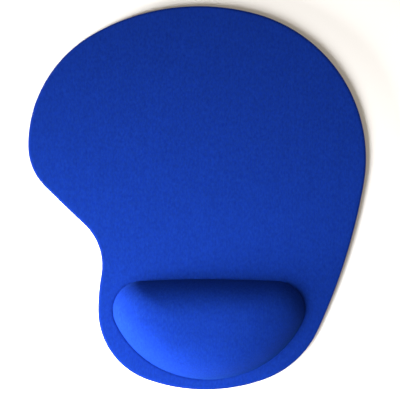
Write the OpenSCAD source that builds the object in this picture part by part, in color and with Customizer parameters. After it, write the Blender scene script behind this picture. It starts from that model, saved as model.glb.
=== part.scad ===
// Mouse pad with a built-in wrist rest.
// A bonded stack: a rubber base, a foam sheet, a soft block for the wrist on the sheet,
// and one knitted cloth that is formed over the sheet and the block.
// +Z is up, +Y runs from the user's wrist to the back of the pad.
// The origin is under the middle of the pad, on the table.

/* [Pad] */
// Length of the pad from front to back
pad_length = 230; // [200:1:260]

/* [Layers] */
// Thickness of the rubber base
base_t = 1.0; // [0.8:0.1:2]
// Thickness of each bonding film
film_t = 0.15; // [0.1:0.05:0.3]
// Thickness of the foam sheet
foam_t = 1.8; // [1:0.1:3]
// Thickness of the knitted cloth
cloth_t = 0.5; // [0.3:0.1:0.8]

/* [Wrist cushion] */
// Height of the cushion's crown above the table
cushion_h = 20; // [16:0.5:24]
// Slope of the cushion's wall where it leaves the pad at the back, in degrees
back_slope = 68; // [60:1:74]
// Slope of the wall at the left and right ends, in degrees
end_slope = 71; // [60:1:76]
// Slope of the wall at the front, in degrees
front_slope = 63; // [50:1:70]
// Distance from the foot over which the wall at the back turns into the top
back_shoulder = 7.5; // [6:0.5:12]
// The same distance at the left and right ends
end_shoulder = 7.5; // [6:0.5:12]
// The same distance at the front
front_shoulder = 16.5; // [12:0.5:20]
// Distance from the middle of the cushion's back to its highest point, towards the front
crown_setback = 25; // [20:1:30]
// Distance from the same place to the highest point, towards the left
crown_left = 7.5; // [0:0.5:12]

/* [Hidden] */

// Heights of the layers on the flat of the pad
base_film_z = base_t;
foam_z = base_film_z + film_t;
foam_top = foam_z + foam_t;
pad_top = foam_top + film_t + cloth_t;

// Depths below the cloth's face, measured square to it, of the film and of what it bonds to
film_depth = cloth_t;
core_depth = film_depth + film_t;
// Bare margin between the edge of the cushion's bonding film and the cloth's film
film_margin = 1;

// Outlines are chains of tangent arcs, walked anticlockwise: [radius, turn in degrees].
// A negative turn is a hollow. Each table leaves two radii open as 0, and those two
// are worked out so that the chain closes. The chain's first heading is in degrees from +X.
// The pad: the wide mouse area, the hollow at the left of the wrist, the narrower front.
pad_arcs = [
    [128, 30], [77, 60], [34, 45], [940, 2],
    [34, -57],
    [121, 10], [44, 70], [0, 40], [56, 45],
    [354, 15], [0, 85], [130, 15],
];
pad_heading = 180;
pad_open = [7, 10];

// The cushion's foot: a long, slightly bowed back, tight back corners and a round front.
cushion_arcs = [[780, 6], [0, 112], [58, 40], [65, 46], [61, 42], [0, 114]];
cushion_heading = 177;
cushion_open = [1, 5];
// Middle of the cushion's foot on a pad of the length that the arcs draw
cushion_centre = [7.1, -78.8];

// Longest chord, and largest turn between two points, when an arc is made into points
max_chord = 6.5;
max_turn = 7.5;

// Rings of points from the cushion's foot to its crown, closer together near the foot
ring_count = 9;
ring_power = 1.3;

function sum_points(list, i = 0) = i == len(list) ? [0, 0] : list[i] + sum_points(list, i + 1);
function heading_at(arcs, start, i) = i == 0 ? start : heading_at(arcs, start, i - 1) + arcs[i - 1][1];

// Travel of an arc of radius 1 that turns from one heading to another
function unit_travel(from, to) = sign(to - from) * [sin(to) - sin(from), cos(from) - cos(to)];
function arc_travel(arcs, start, i) =
    let (from = heading_at(arcs, start, i))
    unit_travel(from, from + arcs[i][1]);

// The two open radii that bring the chain back to its start
function closing_radii(arcs, start, open) =
    let (
        gap = sum_points([for (i = [0:len(arcs) - 1]) arcs[i][0] * arc_travel(arcs, start, i)]),
        a = arc_travel(arcs, start, open[0]),
        b = arc_travel(arcs, start, open[1]),
        det = a.x * b.y - a.y * b.x
    )
    [(b.x * gap.y - b.y * gap.x) / det, (a.y * gap.x - a.x * gap.y) / det];

function closed_arcs(arcs, start, open) =
    let (radii = closing_radii(arcs, start, open))
    [
        for (i = [0:len(arcs) - 1])
            [i == open[0] ? radii[0] : i == open[1] ? radii[1] : arcs[i][0], arcs[i][1]]
    ];

// Start points of the arcs in a chain
function arc_starts(arcs, start) = [
    for (i = 0, p = [0, 0]; i < len(arcs); p = p + arcs[i][0] * arc_travel(arcs, start, i), i = i + 1) p
];

// Points along a closed chain of arcs
function chain_points(arcs, start) =
    let (starts = arc_starts(arcs, start))
    [
        for (i = [0:len(arcs) - 1])
            let (
                radius = arcs[i][0],
                turn = arcs[i][1],
                from = heading_at(arcs, start, i),
                by_chord = ceil(radius * abs(turn) * PI / 180 / max_chord),
                steps = max(by_chord, ceil(abs(turn) / max_turn))
            )
            for (k = [0:steps - 1]) starts[i] + radius * unit_travel(from, from + turn * k / steps)
    ];

function lowest(points) = [min([for (p = points) p.x]), min([for (p = points) p.y])];
function highest(points) = [max([for (p = points) p.x]), max([for (p = points) p.y])];
function centred(points) =
    let (middle = (lowest(points) + highest(points)) / 2)
    [for (p = points) p - middle];

pad_drawn = centred(chain_points(closed_arcs(pad_arcs, pad_heading, pad_open), pad_heading));
pad_scale = pad_length / (2 * highest(pad_drawn).y);
pad_outline = pad_scale * pad_drawn;

foot_drawn = centred(chain_points(closed_arcs(cushion_arcs, cushion_heading, cushion_open), cushion_heading));
foot = [for (p = foot_drawn) pad_scale * (p + cushion_centre)];

// The cushion's crown: its highest point
crown_rise = cushion_h - pad_top;
crown = [pad_scale * cushion_centre.x - crown_left, highest(foot).y - crown_setback];

// Level direction into the cushion, square to its foot
function foot_point(i) = foot[(i + len(foot)) % len(foot)];
function inward(i) =
    let (along = foot_point(i + 1) - foot_point(i - 1))
    unit([-along.y, along.x]);

// A property of the wall at a point of the foot, blended by the way the wall faces there
function by_facing(i, back, end, front) =
    let (
        facing = -inward(i),
        side = pow(facing.x, 2)
    )
    end * side + (facing.y > 0 ? back : front) * (1 - side);
function foot_slope(i) = by_facing(i, back_slope, end_slope, front_slope);
function shoulder(i) = by_facing(i, back_shoulder, end_shoulder, front_shoulder);

// A point of the cloth's face: u is 0 at the foot and 1 at the crown. The path starts square
// to the foot and bends towards the crown, and the wall starts at its own slope and levels out.
function face_point(i, u) =
    let (
        p = foot_point(i),
        left = 1 - u,
        plan = left * left * p + 2 * u * left * (p + shoulder(i) * inward(i)) + u * u * crown,
        power = 2 * shoulder(i) * tan(foot_slope(i)) / crown_rise
    )
    [plan.x, plan.y, pad_top + crown_rise * (1 - pow(left, power))];

function unit(v) = v / norm(v);
function face_normal(i, u) =
    let (
        du = 0.01,
        along = face_point(i + 1, u) - face_point(i - 1, u),
        up = face_point(i, u + du) - face_point(i, max(u - du, 0))
    )
    unit(cross(along, up));

// The line where a layer at a depth turns up into the cushion, or the line a lift above it
function root_point(i, depth, lift = 0) =
    let (step = depth * tan(foot_slope(i) / 2) + lift / tan(foot_slope(i)))
    concat(foot[i] + step * inward(i), [pad_top - depth + lift]);

function layer_point(i, k, depth) =
    let (u = pow(k / ring_count, ring_power))
    face_point(i, u) - depth * face_normal(i, u);

// Points of the formed surface at a depth: rings from the foot up, then the crown
function formed_points(depth, lift = 0) = concat(
    [for (i = [0:len(foot) - 1]) root_point(i, depth, lift)],
    [for (k = [1:ring_count - 1]) for (i = [0:len(foot) - 1]) layer_point(i, k, depth)],
    [[crown.x, crown.y, cushion_h - depth]]
);
function outline_points(z) = [for (p = pad_outline) [p.x, p.y, z]];

function flipped(faces) = [for (f = faces) [for (i = [len(f) - 1:-1:0]) f[i]]];

// Faces of the formed surface, clockwise from above, whose points start at first
function formed_faces(first) =
    let (
        n = len(foot),
        tip = first + ring_count * n
    )
    concat(
        [
            for (k = [0:ring_count - 2]) for (i = [0:n - 1])
                let (
                    j = (i + 1) % n,
                    low = first + k * n,
                    high = low + n
                )
                each [[low + i, high + i, high + j], [low + i, high + j, low + j]]
        ],
        [for (i = [0:n - 1]) [tip - n + i, tip, tip - n + (i + 1) % n]]
    );

// The flat of the pad between its outline and the cushion's foot: a band of triangles.
// Going round the crown, each triangle steps along the side whose next point comes first.
// The outline's points start at outer and the foot's at inner.
function direction(p) = atan2(p.y - crown.y, p.x - crown.x);
function turn_to(p) = (direction(p) - direction(pad_outline[0]) + 360) % 360;
outline_turns = concat([for (p = pad_outline) turn_to(p)], [360]);
foot_start = let (turns = [for (p = foot) turn_to(p)]) search(min(turns), turns)[0];
foot_turns = [
    for (k = [0:len(foot)]) turn_to(foot[(foot_start + k) % len(foot)]) + (k == len(foot) ? 360 : 0)
];
function band_faces(outer, inner) =
    let (
        n = len(pad_outline),
        m = len(foot)
    )
    [
        for (
            i = 0, k = 0, along = outline_turns[1] < foot_turns[1];
            i < n || k < m;
            i = along ? i + 1 : i,
            k = along ? k : k + 1,
            along = k >= m || (i < n && outline_turns[i + 1] < foot_turns[k + 1])
        )
            let (
                here = outer + i % n,
                beside = inner + (foot_start + k) % m
            )
            along
                ? [here, beside, outer + (i + 1) % n]
                : [here, beside, inner + (foot_start + k + 1) % m]
    ];

// A sheet that follows the pad and the cushion, between two depths
module formed_sheet(top_depth, bottom_depth) {
    n = len(pad_outline);
    layer = n + ring_count * len(foot) + 1;
    points = concat(
        outline_points(pad_top - top_depth), formed_points(top_depth),
        outline_points(pad_top - bottom_depth), formed_points(bottom_depth)
    );
    edge = [for (i = [0:n - 1]) [i, (i + 1) % n, layer + (i + 1) % n, layer + i]];
    faces = concat(
        band_faces(0, n), formed_faces(n),
        flipped(concat(band_faces(layer, layer + n), formed_faces(layer + n))),
        edge
    );
    polyhedron(points, faces, convexity = 4);
}

// A flat sheet with the pad's outline
module flat_sheet(z, thickness) {
    translate([0, 0, z]) linear_extrude(thickness) polygon(pad_outline);
}

module surface_cloth() {
    color("#1648a8") formed_sheet(0, film_depth);
}

module cloth_bond_film() {
    color("#d8d6cc") formed_sheet(film_depth, core_depth);
}

// The block under the wrist, standing on its bonding film
module wrist_cushion_core() {
    underside = [for (i = [0:len(foot) - 1]) i];
    faces = concat(formed_faces(0), [underside]);
    color("#4a4d52") polyhedron(formed_points(core_depth, film_t), faces, convexity = 2);
}

module cushion_bond_film() {
    outline = [
        for (i = [0:len(foot) - 1])
            let (root = root_point(i, core_depth))
            [root.x, root.y] + film_margin * inward(i)
    ];
    color("#c9c6ba") translate([0, 0, foam_top]) linear_extrude(film_t) polygon(outline);
}

module foam_sheet() {
    color("#232323") flat_sheet(foam_z, foam_t);
}

module base_bond_film() {
    color("#c9c6ba") flat_sheet(base_film_z, film_t);
}

module non_slip_base() {
    color("#161616") flat_sheet(0, base_t);
}

surface_cloth();
cloth_bond_film();
wrist_cushion_core();
cushion_bond_film();
foam_sheet();
base_bond_film();
non_slip_base();
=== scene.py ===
"""Looks of the mouse pad with a wrist cushion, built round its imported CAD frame.

Every layer of the bonded stack is remade at a finer scale on the outlines of the CAD nodes:
the cloth with its die-cut edge and cushion, the films, the foam and the embossed base.
"""
import math
from collections import namedtuple

import bmesh
import bpy
import numpy as np
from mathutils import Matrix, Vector
from mathutils.geometry import delaunay_2d_cdt


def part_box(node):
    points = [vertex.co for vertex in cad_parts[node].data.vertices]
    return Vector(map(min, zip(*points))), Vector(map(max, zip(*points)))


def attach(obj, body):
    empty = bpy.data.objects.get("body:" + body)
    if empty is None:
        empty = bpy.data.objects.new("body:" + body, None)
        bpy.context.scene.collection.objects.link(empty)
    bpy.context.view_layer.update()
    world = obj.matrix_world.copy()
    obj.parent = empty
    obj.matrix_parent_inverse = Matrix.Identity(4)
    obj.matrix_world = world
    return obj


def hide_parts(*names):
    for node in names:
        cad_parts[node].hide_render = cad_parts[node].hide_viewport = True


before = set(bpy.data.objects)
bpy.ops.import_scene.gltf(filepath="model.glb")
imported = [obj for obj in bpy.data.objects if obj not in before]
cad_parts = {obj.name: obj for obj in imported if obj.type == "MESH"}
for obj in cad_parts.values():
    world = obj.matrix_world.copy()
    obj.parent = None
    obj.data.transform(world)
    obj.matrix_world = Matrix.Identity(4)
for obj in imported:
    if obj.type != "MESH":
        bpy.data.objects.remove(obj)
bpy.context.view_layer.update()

MM = 0.001

# Heights and thicknesses of the layers, from the frame
BASE_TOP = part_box("non_slip_base")[1].z
FOAM_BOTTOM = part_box("foam_sheet")[0].z
FOAM_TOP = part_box("foam_sheet")[1].z
CROWN_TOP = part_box("surface_cloth")[1].z
CORE_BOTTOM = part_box("wrist_cushion_core")[0].z
CLOTH_T = CROWN_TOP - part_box("cloth_bond_film")[1].z
CORE_DEPTH = CROWN_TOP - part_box("wrist_cushion_core")[1].z
PAD_TOP = FOAM_TOP + CORE_DEPTH
CUSHION_RISE = CROWN_TOP - PAD_TOP

# The cushion's wall at the back, at the ends and at the front: its slope at the foot in
# degrees, and the distance from the foot over which it turns into the top
WALL_SLOPES = (68, 71, 63)
WALL_SHOULDERS = (7.5 * MM, 7.5 * MM, 16.5 * MM)
# How softly the cloth turns up from the pad into the wall
CREASE = 0.16 * MM
# The line that the mould pressed into the cloth along the cushion's foot
PRESSED_DEPTH = 0.3 * MM
PRESSED_HALF_WIDTH = 0.6 * MM

# Spacing of mesh points
CURVE_SAMPLES = 16
OUTLINE_STEP = 1.2 * MM
FOOT_STEP = 1.0 * MM
LEVEL_STEP = 3.2 * MM
# Distances from the cushion's foot of the rings of points on the pad round it
CREASE_GAPS = np.array([3.0, 2.0, 1.3, 0.85, 0.55, 0.35, 0.2, 0.09]) * MM
WALL_RINGS = 44
# The first rings of the wall, which lie outside the foam block's own wall
ROOT_RINGS = 8
SHARP_ANGLE = math.radians(38)

# The rim of the pad, pressed down where the blade cut it
RIM_WIDTH = 1.9 * MM
RIM_DROP = 0.42 * MM
RIM_ROWS = 8
# How far the cut edges of the layers below stand in from the cloth's
FOAM_INSET = 0.2 * MM
BASE_FILM_INSET = 0.16 * MM
BASE_INSET = 0.06 * MM
# How far the foam block's own film stands in from where the block turns up
CUSHION_FILM_INSET = 1 * MM

# The base's embossing: square tiles on their corners, with grooves between them
TILE_PITCH = 3.6 * MM
GROOVE_HALF_WIDTH = 0.45 * MM
GROOVE_DEPTH = 0.28 * MM
PLAIN_MARGIN = 2.5 * MM
# The corners of a tile, and the tile across each of its sides in the same order
TILE_CORNERS = ((0, 0), (1, 0), (1, 1), (0, 1))
TILE_BESIDE = ((0, -1), (1, 0), (0, 1), (-1, 0))

# Spacing of the knit's columns and rows of loops
WALE_PITCH = 1.2 * MM
COURSE_PITCH = 0.9 * MM

# A surface with one outer rim: points, faces seen anticlockwise from above, and how many
# points the rim has, which come first
Patch = namedtuple("Patch", "points faces rim_count")


# ---------------------------------------------------------------- outlines


def signed_area(loop):
    after = np.roll(loop, -1, 0)
    return 0.5 * (loop[:, 0] * after[:, 1] - loop[:, 1] * after[:, 0]).sum()


def level_rims(node, height):
    """Anticlockwise rims, largest first, of a CAD node's level faces at a height."""
    mesh = bmesh.new()
    mesh.from_mesh(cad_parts[node].data)
    bmesh.ops.remove_doubles(mesh, verts=mesh.verts, dist=1e-6)
    level = {
        face
        for face in mesh.faces
        if face.normal.z > 0.99 and abs(face.calc_center_median().z - height) < 1e-6
    }
    onward = {}
    for face in sorted(level, key=lambda f: f.index):
        for loop in face.loops:
            if len(level.intersection(loop.edge.link_faces)) == 1:
                onward[loop.vert] = loop.link_loop_next.vert
    rims = []
    while onward:
        vert = next(iter(onward))
        rim = []
        while vert in onward:
            rim.append(vert.co.xy[:])
            vert = onward.pop(vert)
        rims.append(np.array(rim))
    mesh.free()
    rims = [rim if signed_area(rim) > 0 else rim[::-1] for rim in rims]
    return sorted(rims, key=signed_area, reverse=True)


def smooth_loop(corners, step):
    """Evenly spaced points on a smooth closed curve through the corners."""
    after = np.roll(corners, -1, 0)
    chord = np.linalg.norm(after - corners, axis=1)[:, None]
    onward = (after - corners) / chord
    behind = np.roll(chord, 1, 0)
    tangent = (onward * behind + np.roll(onward, 1, 0) * chord) / (chord + behind)
    t = np.linspace(0, 1, CURVE_SAMPLES, endpoint=False)[None, :, None]
    start, end = corners[:, None], after[:, None]
    pull_start = (chord * tangent)[:, None]
    pull_end = (chord * np.roll(tangent, -1, 0))[:, None]
    curve = (
        (2 * t**3 - 3 * t**2 + 1) * start
        + (t**3 - 2 * t**2 + t) * pull_start
        + (3 * t**2 - 2 * t**3) * end
        + (t**3 - t**2) * pull_end
    ).reshape(-1, 2)
    closed = np.vstack([curve, curve[:1]])
    length = np.concatenate([[0], np.cumsum(np.linalg.norm(np.diff(closed, axis=0), axis=1))])
    places = np.linspace(0, length[-1], round(length[-1] / step), endpoint=False)
    return np.column_stack([np.interp(places, length, closed[:, i]) for i in (0, 1)])


def inward(loop):
    """Unit vectors square to an anticlockwise loop, pointing into it."""
    along = np.roll(loop, -1, 0) - np.roll(loop, 1, 0)
    square = np.column_stack([-along[:, 1], along[:, 0]])
    return square / np.linalg.norm(square, axis=1)[:, None]


def inside(points, loop):
    """Which points lie inside a closed loop."""
    x, y = points[:, :1], points[:, 1:]
    x0, y0 = loop[:, 0], loop[:, 1]
    x1, y1 = np.roll(x0, -1), np.roll(y0, -1)
    spans = (y0 > y) != (y1 > y)
    rise = np.where(y1 == y0, 1, y1 - y0)
    crossing = spans & (x < (x1 - x0) * (y - y0) / rise + x0)
    return crossing.sum(1) % 2 == 1


# ---------------------------------------------------------------- patches


def raised(loop, height):
    return np.column_stack([loop, np.broadcast_to(height, len(loop))])


def ring_faces(firsts, count):
    """Faces between rings of numbered points, each ring further in than the one before."""
    faces = []
    for low, high in zip(firsts, firsts[1:]):
        for i in range(count):
            j = (i + 1) % count
            faces.append((low + i, low + j, high + j, high + i))
    return faces


def fan_faces(first, count, tip):
    return [(first + i, first + (i + 1) % count, tip) for i in range(count)]


def grid_between(outer, holes, step):
    """Points of a hexagonal grid inside outer and outside the holes, clear of both."""
    low, high = outer.min(0), outer.max(0)
    rows = np.arange(low[1], high[1], step * math.sqrt(0.75))
    grid = np.array(
        [
            (x, y)
            for k, y in enumerate(rows)
            for x in np.arange(low[0] + (k % 2) * step / 2, high[0], step)
        ]
    )
    clear = 0.45 * step
    keep = inside(grid, outer + clear * inward(outer))
    for hole in holes:
        keep &= ~inside(grid, hole - clear * inward(hole))
    return grid[keep]


def filled(outer, holes, loose):
    """Triangles over the area inside outer and outside the holes. They number the loops'
    points in order, and then the loose points."""
    loops = [outer, *holes]
    edges = []
    first = 0
    for loop in loops:
        count = len(loop)
        edges += [(first + i, first + (i + 1) % count) for i in range(count)]
        first += count
    points = [Vector(p) for p in np.vstack([*loops, loose])]
    found, _, triangles, origins, _, _ = delaunay_2d_cdt(points, edges, [], 0, 1e-9)
    number = [origin[0] for origin in origins]
    middles = np.array([[found[i][:] for i in t] for t in triangles]).mean(1)
    within = inside(middles, outer)
    for hole in holes:
        within &= ~inside(middles, hole)
    return [tuple(number[i] for i in t) for t, ok in zip(triangles, within) if ok]


def normals(patch):
    """Unit normals at a patch's points."""
    mesh = bpy.data.meshes.new("normals")
    mesh.from_pydata(patch.points.tolist(), [], patch.faces)
    flat = np.zeros(len(mesh.vertices) * 3, np.float32)
    mesh.vertices.foreach_get("normal", flat)
    bpy.data.meshes.remove(mesh)
    return flat.reshape(-1, 3).astype(float)


def sunk(patch, depth, steady):
    """The patch moved a depth below its own face. Its first steady points go straight down."""
    points = patch.points - depth * normals(patch)
    points[:steady] = patch.points[:steady] - (0, 0, depth)
    return patch._replace(points=points)


def closed_piece(name, top, bottom, side_rings=()):
    """A closed mesh between a top patch and a bottom patch whose rims have equal counts, with
    rings of points between the rims from the top down."""
    count = top.rim_count
    points = [top.points, bottom.points, *side_rings]
    faces = list(top.faces)
    shift = len(top.points)
    faces += [tuple(shift + i for i in reversed(face)) for face in bottom.faces]
    side_first = shift + len(bottom.points)
    firsts = [0, *(side_first + k * count for k in range(len(side_rings))), shift]
    faces += ring_faces(firsts[::-1], count)
    mesh = bpy.data.meshes.new(name)
    mesh.from_pydata(np.vstack(points).tolist(), [], faces)
    mesh.validate()
    mesh.shade_smooth()
    mesh.set_sharp_from_angle(angle=SHARP_ANGLE)
    piece = bpy.data.objects.new(name, mesh)
    bpy.context.scene.collection.objects.link(piece)
    return piece


# ---------------------------------------------------------------- the pad's own surfaces


pad_rim, foot_rim = level_rims("surface_cloth", PAD_TOP)[:2]
outline = smooth_loop(pad_rim, OUTLINE_STEP)
foot = smooth_loop(foot_rim, FOOT_STEP)
cad_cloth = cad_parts["surface_cloth"].data
crown = np.array(max((v.co for v in cad_cloth.vertices), key=lambda co: co.z).xy)


def by_facing(back, end, front):
    """A property of the cushion's wall at each point of its foot, by the way it faces."""
    facing = -inward(foot)
    side = facing[:, 0] ** 2
    return end * side + np.where(facing[:, 1] > 0, back, front) * (1 - side)


wall_tan = np.tan(np.radians(by_facing(*WALL_SLOPES)))
shoulder = by_facing(*WALL_SHOULDERS)


def cushion_rings():
    """Rings of points from the pad just outside the cushion's foot to near its crown."""
    into = inward(foot)
    rings = [(foot - gap * into, -gap * wall_tan) for gap in CREASE_GAPS]
    power = 2 * shoulder * wall_tan / CUSHION_RISE
    for k in range(WALL_RINGS):
        u = (k / WALL_RINGS) ** 1.6
        left = 1 - u
        plan = left**2 * foot + 2 * u * left * (foot + shoulder[:, None] * into) + u**2 * crown
        rings.append((plan, CUSHION_RISE * (1 - left**power)))
    return [raised(plan, PAD_TOP + (rise + np.hypot(rise, 2 * CREASE)) / 2) for plan, rise in rings]


def rim_rings(loop, height):
    """Rings from the cut edge of a layer in to where it is level, the edge pressed down."""
    into = inward(loop)
    rings = []
    for k in range(RIM_ROWS + 1):
        share = (k / RIM_ROWS) ** 1.3
        drop = RIM_DROP * (1 - share) ** 2.6
        rings.append(raised(loop + RIM_WIDTH * share * into, height - drop))
    return rings


def face_patch():
    """The cloth's upper face: the cut edge, the cushion, then the level part between them."""
    edge = rim_rings(outline, PAD_TOP)
    mound = cushion_rings()
    n, m = len(outline), len(foot)
    outer, hole = edge[-1][:, :2], mound[0][:, :2]
    loose = grid_between(outer, [hole], LEVEL_STEP)
    edge_firsts = [k * n for k in range(len(edge))]
    mound_firsts = [len(edge) * n + k * m for k in range(len(mound))]
    tip = mound_firsts[-1] + m

    def number(i):
        """Number in the whole patch of a point of the level part."""
        if i < n:
            return edge_firsts[-1] + i
        if i < n + m:
            return mound_firsts[0] + i - n
        return tip + 1 + i - n - m

    faces = ring_faces(edge_firsts, n) + ring_faces(mound_firsts, m)
    faces += fan_faces(mound_firsts[-1], m, tip)
    faces += [tuple(number(i) for i in face) for face in filled(outer, [hole], loose)]
    points = np.vstack([*edge, *mound, [[*crown, CROWN_TOP]], raised(loose, PAD_TOP)])
    return Patch(points, faces, n)


def level_patch(loop, height, pressed=False):
    """A level patch inside a loop, with its edge pressed down if asked."""
    rings = rim_rings(loop, height) if pressed else [raised(loop, height)]
    n = len(loop)
    outer = rings[-1][:, :2]
    loose = grid_between(outer, [], LEVEL_STEP)
    firsts = [k * n for k in range(len(rings))]
    faces = ring_faces(firsts, n)
    faces += [tuple(firsts[-1] + i for i in face) for face in filled(outer, [], loose)]
    return Patch(np.vstack([*rings, raised(loose, height)]), faces, n)


def uneven(patch):
    """The cloth's face with the line pressed into it along the cushion's foot, and with the
    slight unevenness of soft layers pressed together."""
    x, y = patch.points[:, 0] / MM, patch.points[:, 1] / MM
    swell = (
        0.030 * np.sin(x / 9.1 + 1.3) * np.cos(y / 11.7 + 0.4)
        + 0.035 * np.sin(x / 21 - y / 16 + 2.1)
        + 0.018 * np.sin(x / 4.3 + y / 5.9) * np.cos(y / 3.7 - x / 8.3)
    )
    points = patch.points.copy()
    points[:, 2] += swell * MM
    rings = len(CREASE_GAPS) + WALL_RINGS
    mound = points[STEADY : STEADY + rings * len(foot)].reshape(rings, len(foot), 3)
    away = np.linalg.norm(mound[:, :, :2] - foot, axis=2)
    mound[:, :, 2] -= PRESSED_DEPTH * np.exp(-((away / PRESSED_HALF_WIDTH) ** 2))
    return patch._replace(points=points)


def cut_side(loop, top, bottom, rows, bulge, grain, seed):
    """Rings down a cut edge that swells out by bulge between the layers it is bonded to, and
    whose points stand in or out at random by up to grain."""
    random = np.random.default_rng(seed)
    rings = []
    for k in range(1, rows):
        share = k / rows
        out = bulge * math.sin(math.pi * share) + grain * random.uniform(-1, 0.3, len(loop))
        rings.append(raised(loop - out[:, None] * inward(loop), top + (bottom - top) * share))
    return rings


STEADY = (RIM_ROWS + 1) * len(outline)
face = face_patch()
film_top = sunk(face, CLOTH_T, STEADY)
core_top = sunk(face, CORE_DEPTH, STEADY)
# Distance in from the cushion's foot to where the foam under the cloth turns up
root_step = CORE_DEPTH * np.tan(np.arctan(wall_tan) / 2)


def make_cloth():
    return closed_piece("surface_cloth_knit", uneven(face), film_top)


def make_cloth_film():
    return closed_piece("cloth_bond_film_sheet", film_top, core_top)


def make_core():
    """The foam block: what lies under the cloth's film and above the block's own film."""
    m = len(foot)
    step = root_step + (CORE_BOTTOM - FOAM_TOP) / wall_tan
    edge = foot + step[:, None] * inward(foot)
    tip = STEADY + (len(CREASE_GAPS) + WALL_RINGS) * m
    rings = WALL_RINGS - ROOT_RINGS
    wall = core_top.points[tip - rings * m : tip + 1]
    points = np.vstack([raised(edge, CORE_BOTTOM), wall])
    firsts = [k * m for k in range(rings + 1)]
    faces = ring_faces(firsts, m) + fan_faces(firsts[-1], m, firsts[-1] + m)
    block = Patch(points, faces, m)
    return closed_piece("wrist_cushion_foam", block, level_patch(edge, CORE_BOTTOM))


def make_cushion_film():
    edge = foot + (root_step + CUSHION_FILM_INSET)[:, None] * inward(foot)
    top = level_patch(edge, CORE_BOTTOM)
    return closed_piece("cushion_bond_film_sheet", top, level_patch(edge, FOAM_TOP))


def make_foam_sheet():
    loop = outline + FOAM_INSET * inward(outline)
    top = level_patch(loop, FOAM_TOP, pressed=True)
    height = FOAM_TOP - RIM_DROP
    sides = cut_side(loop, height, FOAM_BOTTOM, rows=9, bulge=0.14 * MM, grain=0.05 * MM, seed=3)
    return closed_piece("foam_sheet_cut", top, level_patch(loop, FOAM_BOTTOM), sides)


def make_base_film():
    loop = outline + BASE_FILM_INSET * inward(outline)
    top = level_patch(loop, FOAM_BOTTOM)
    return closed_piece("base_bond_film_sheet", top, level_patch(loop, BASE_TOP))


def tile_corner(i, j):
    """Place of a corner of the embossing's lattice, whose rows run at 45 degrees."""
    half = TILE_PITCH / math.sqrt(2)
    return np.array([(i - j) * half, (i + j) * half])


def tiles_within(border):
    """The lattice's tiles that lie wholly inside a border."""
    reach = math.ceil(2 * np.abs(border).max() / TILE_PITCH) + 1
    span = range(-reach, reach + 1)
    corners = [(i, j) for i in span for j in span]
    ok = inside(np.array([tile_corner(*c) for c in corners]), border)
    good = {c for c, is_in in zip(corners, ok) if is_in}
    return [c for c in corners if all((c[0] + di, c[1] + dj) in good for di, dj in TILE_CORNERS)]


def embossed_patch(loop):
    """The underside of the base: raised tiles with grooves between them, and a plain margin."""
    tiles = tiles_within(loop + PLAIN_MARGIN * inward(loop))
    kept = set(tiles)
    sharing = {}
    for i, j in tiles:
        for di, dj in TILE_CORNERS:
            sharing[i + di, j + dj] = sharing.get((i + di, j + dj), 0) + 1
    n = len(loop)
    number = {corner: n + k for k, corner in enumerate(sharing)}
    points = [(*p, 0) for p in loop]
    points += [(*tile_corner(*c), GROOVE_DEPTH if sharing[c] == 4 else 0) for c in sharing]
    shrink = 1 - 2 * GROOVE_HALF_WIDTH / TILE_PITCH
    faces = []
    onward = {}
    for i, j in tiles:
        corners = [(i + di, j + dj) for di, dj in TILE_CORNERS]
        middle = (tile_corner(*corners[0]) + tile_corner(*corners[2])) / 2
        first = len(points)
        for corner in corners:
            points.append((*(middle + shrink * (tile_corner(*corner) - middle)), 0))
        faces.append(tuple(range(first, first + 4)))
        for k, (di, dj) in enumerate(TILE_BESIDE):
            after = (k + 1) % 4
            start, end = number[corners[k]], number[corners[after]]
            faces.append((start, end, first + after, first + k))
            if (i + di, j + dj) not in kept:
                onward.setdefault(start, []).append(end)
    stair = [min(onward)]
    while True:
        vert = onward[stair[-1]].pop()
        if vert == stair[0]:
            break
        stair.append(vert)
    points = np.array(points)
    margin = filled(loop, [points[stair, :2]], np.zeros((0, 2)))
    faces += [tuple(i if i < n else stair[i - n] for i in face) for face in margin]
    return Patch(points, faces, n)


def make_base():
    loop = outline + BASE_INSET * inward(outline)
    sides = cut_side(loop, BASE_TOP, 0, rows=5, bulge=0.04 * MM, grain=0.02 * MM, seed=5)
    top = level_patch(loop, BASE_TOP)
    return closed_piece("non_slip_base_embossed", top, embossed_patch(loop), sides)


# ---------------------------------------------------------------- materials


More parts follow.
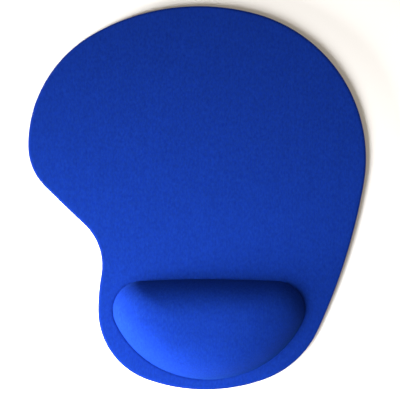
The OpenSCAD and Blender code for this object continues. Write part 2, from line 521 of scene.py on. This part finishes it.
class Shading:
    """A material, with short names for the shader nodes that the materials share."""

    def __init__(self, name, roughness, specular):
        self.material = bpy.data.materials.new(name)
        self.material.use_nodes = True
        self.tree = self.material.node_tree
        self.inputs = self.tree.nodes["Principled BSDF"].inputs
        self.inputs["Roughness"].default_value = roughness
        self.inputs["Specular IOR Level"].default_value = specular

    def add(self, kind, **values):
        node = self.tree.nodes.new(kind)
        for key, value in values.items():
            setattr(node, key, value)
        return node

    def set(self, name, source):
        self.tree.links.new(source, self.inputs[name])

    def place(self, stretch=(1, 1, 1)):
        """Position on the piece in metres, times stretch."""
        where = self.add("ShaderNodeTexCoord")
        mapping = self.add("ShaderNodeMapping")
        mapping.inputs["Scale"].default_value = stretch
        self.tree.links.new(where.outputs["Object"], mapping.inputs["Vector"])
        return mapping.outputs["Vector"]

    def noise(self, cells, detail, stretch=(1, 1, 1)):
        """Noise with about that many cells a metre, from 0 to 1."""
        node = self.add("ShaderNodeTexNoise")
        node.inputs["Scale"].default_value = cells
        node.inputs["Detail"].default_value = detail
        self.tree.links.new(self.place(stretch), node.inputs["Vector"])
        return node.outputs["Fac"]

    def pores(self, cells):
        """Distance from the middle of the nearest pore, with that many pores a metre."""
        node = self.add("ShaderNodeTexVoronoi")
        node.inputs["Scale"].default_value = cells
        self.tree.links.new(self.place(), node.inputs["Vector"])
        return node.outputs["Distance"]

    def math(self, operation, a, b=0.0, c=0.0):
        node = self.add("ShaderNodeMath", operation=operation)
        for socket, value in zip(node.inputs, (a, b, c)):
            if isinstance(value, (int, float)):
                socket.default_value = value
            else:
                self.tree.links.new(value, socket)
        return node.outputs[0]

    def spread(self, value, low, high):
        """A value from 0 to 1 brought to low to high."""
        return self.math("MULTIPLY_ADD", value, high - low, low)

    def product(self, *factors):
        total = factors[0]
        for factor in factors[1:]:
            total = self.math("MULTIPLY", total, factor)
        return total

    def times(self, rgb, factor):
        """A colour times a factor."""
        node = self.add("ShaderNodeVectorMath", operation="SCALE")
        node.inputs[0].default_value = rgb
        self.tree.links.new(factor, node.inputs["Scale"])
        return node.outputs[0]

    def tint(self, *layers):
        """Base colour, as the sum of colours, each given with its factor."""
        total = self.times(*layers[0])
        for layer in layers[1:]:
            node = self.add("ShaderNodeVectorMath", operation="ADD")
            self.tree.links.new(total, node.inputs[0])
            self.tree.links.new(self.times(*layer), node.inputs[1])
            total = node.outputs[0]
        self.set("Base Color", total)

    def bump(self, height, distance, strength, over=None):
        node = self.add("ShaderNodeBump")
        node.inputs["Distance"].default_value = distance
        node.inputs["Strength"].default_value = strength
        self.tree.links.new(height, node.inputs["Height"])
        if over is not None:
            self.tree.links.new(over, node.inputs["Normal"])
        return node.outputs["Normal"]


def cloth_material():
    s = Shading("royal_blue_knit", roughness=0.9, specular=0.035)
    s.inputs["Sheen Weight"].default_value = 0.1
    s.inputs["Sheen Roughness"].default_value = 0.3
    s.inputs["Sheen Tint"].default_value = (0.1, 0.5, 1, 1)
    split = s.add("ShaderNodeSeparateXYZ")
    s.tree.links.new(s.place(), split.inputs[0])
    # The knit's columns run from front to back, and its loops make V shapes along them
    wale = s.math("SINE", s.math("MULTIPLY", split.outputs["X"], 2 * math.pi / WALE_PITCH))
    slant = s.math("MULTIPLY", s.math("ABSOLUTE", wale), 2.2)
    course = s.math("MULTIPLY_ADD", split.outputs["Y"], 2 * math.pi / COURSE_PITCH, slant)
    loops = s.math("MULTIPLY", s.math("ADD", wale, s.math("SINE", course)), 0.5)
    grain = s.noise(1000, 3, (1, 0.6, 1))
    # The grain's wide spread of tone is partly the knit's own random tone and partly painted shade
    # between the yarns
    tone = s.product(
        s.spread(s.noise(700, 1, (1, 0.03, 1)), 0.95, 1.05),
        s.spread(s.noise(55, 3), 0.95, 1.05),
        s.spread(grain, 0.66, 1.34),
        s.math("MULTIPLY_ADD", loops, 0.035, 1.0),
    )
    # Threads that took the dye a little greener or a little more violet
    shift = s.spread(s.noise(850, 2, (1, 0.5, 1)), -0.5, 0.5)
    s.tint(((0.0028, 0.0195, 0.187), tone), ((0.003, 0.012, 0.0), shift))
    s.set("Normal", s.bump(grain, 0.12 * MM, 0.6, s.bump(loops, 0.01 * MM, 0.6)))
    return s.material


def film_material():
    # A clear film, dark with the foam behind it
    s = Shading("hot_melt_film", roughness=0.45, specular=0.35)
    s.tint(((0.11, 0.11, 0.105), s.spread(s.noise(300, 3), 0.85, 1.1)))
    s.set("Normal", s.bump(s.noise(900, 2), 0.05 * MM, 0.5))
    return s.material


def foam_material(name, rgb, cells):
    s = Shading(name, roughness=0.92, specular=0.25)
    pores = s.pores(cells)
    # The colour is darker towards the middle of each pore: painted shade in the pores
    s.tint((rgb, s.product(s.spread(pores, 0.6, 1.5), s.spread(s.noise(160, 3), 0.8, 1.2))))
    s.set("Normal", s.bump(pores, 0.25 * MM, 0.8))
    return s.material


def rubber_material():
    s = Shading("black_base_rubber", roughness=0.65, specular=0.4)
    s.set("Roughness", s.spread(s.noise(500, 3), 0.5, 0.75))
    s.tint(((0.02, 0.02, 0.021), s.spread(s.noise(70, 4), 0.75, 1.4)))
    s.set("Normal", s.bump(s.noise(2600, 2), 0.06 * MM, 0.6))
    return s.material


def paper_material():
    s = Shading("white_paper", roughness=0.9, specular=0.1)
    s.inputs["Base Color"].default_value = (0.92, 0.92, 0.92, 1)
    return s.material


# ---------------------------------------------------------------- pieces


def place(piece, node, material):
    piece.data.materials.append(material)
    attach(piece, "root")
    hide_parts(node)
    return piece


film = film_material()
soft_foam = foam_material("grey_soft_foam", (0.16, 0.16, 0.17), 1400)
sheet_foam = foam_material("black_sheet_foam", (0.02, 0.02, 0.022), 2200)
cloth = place(make_cloth(), "surface_cloth", cloth_material())
place(make_cloth_film(), "cloth_bond_film", film)
core = place(make_core(), "wrist_cushion_core", soft_foam)
place(make_cushion_film(), "cushion_bond_film", film)
foam = place(make_foam_sheet(), "foam_sheet", sheet_foam)
place(make_base_film(), "base_bond_film", film)
place(make_base(), "non_slip_base", rubber_material())


# ---------------------------------------------------------------- floor, light and camera


def make_floor():
    reach = 30.0
    mesh = bpy.data.meshes.new("floor")
    corners = [(-reach, -reach, 0), (reach, -reach, 0), (reach, reach, 0), (-reach, reach, 0)]
    mesh.from_pydata(corners, [], [(0, 1, 2, 3)])
    mesh.materials.append(paper_material())
    floor = bpy.data.objects.new("floor", mesh)
    bpy.context.scene.collection.objects.link(floor)


def area_light(name, aim, azimuth, elevation, distance, size, power, spread):
    """A rectangular light that points at aim, seen from there at an azimuth, which goes
    anticlockwise from +X, and an elevation. Angles are in degrees."""
    level, up = math.radians(azimuth), math.radians(elevation)
    away = Vector((math.cos(level) * math.cos(up), math.sin(level) * math.cos(up), math.sin(up)))
    data = bpy.data.lights.new(name, "AREA")
    data.shape = "RECTANGLE"
    data.size, data.size_y = size
    data.energy = power
    data.spread = math.radians(spread)
    light = bpy.data.objects.new(name, data)
    light.location = Vector(aim) + distance * away
    light.rotation_euler = (-away).to_track_quat("-Z", "Y").to_euler()
    light.visible_camera = False
    bpy.context.scene.collection.objects.link(light)


def make_world(color, strength):
    world = bpy.data.worlds.new("studio")
    world.use_nodes = True
    background = world.node_tree.nodes["Background"]
    background.inputs["Color"].default_value = (*color, 1)
    background.inputs["Strength"].default_value = strength
    bpy.context.scene.world = world


def make_camera():
    """Looks straight down at the pad, a little off its middle."""
    view_width = 239.7 * MM
    distance = 0.7
    data = bpy.data.cameras.new("camera")
    data.sensor_width = 36
    data.lens = data.sensor_width * distance / view_width
    camera = bpy.data.objects.new("camera", data)
    camera.location = (1.8 * MM, -1.25 * MM, PAD_TOP + distance)
    bpy.context.scene.collection.objects.link(camera)
    bpy.context.scene.camera = camera


make_floor()
cushion_spot = (0, -80 * MM, 0)
front_spot = (0, -105 * MM, 0)
area_light("left_low", cushion_spot, 191, 8, 0.5, (0.18, 0.05), 2.8, 90)
area_light("left_high", cushion_spot, 195, 43, 0.42, (0.17, 0.3), 1.0, 95)
area_light("front_near", front_spot, 238, 46, 0.22, (0.1, 0.14), 0.86, 180)
area_light("back_right", cushion_spot, 30, 45, 0.8, (0.36, 0.28), 0.9, 180)
make_world((1, 0.8, 0.55), 0.25)
make_camera()
bpy.context.scene.view_settings.view_transform = "Standard"
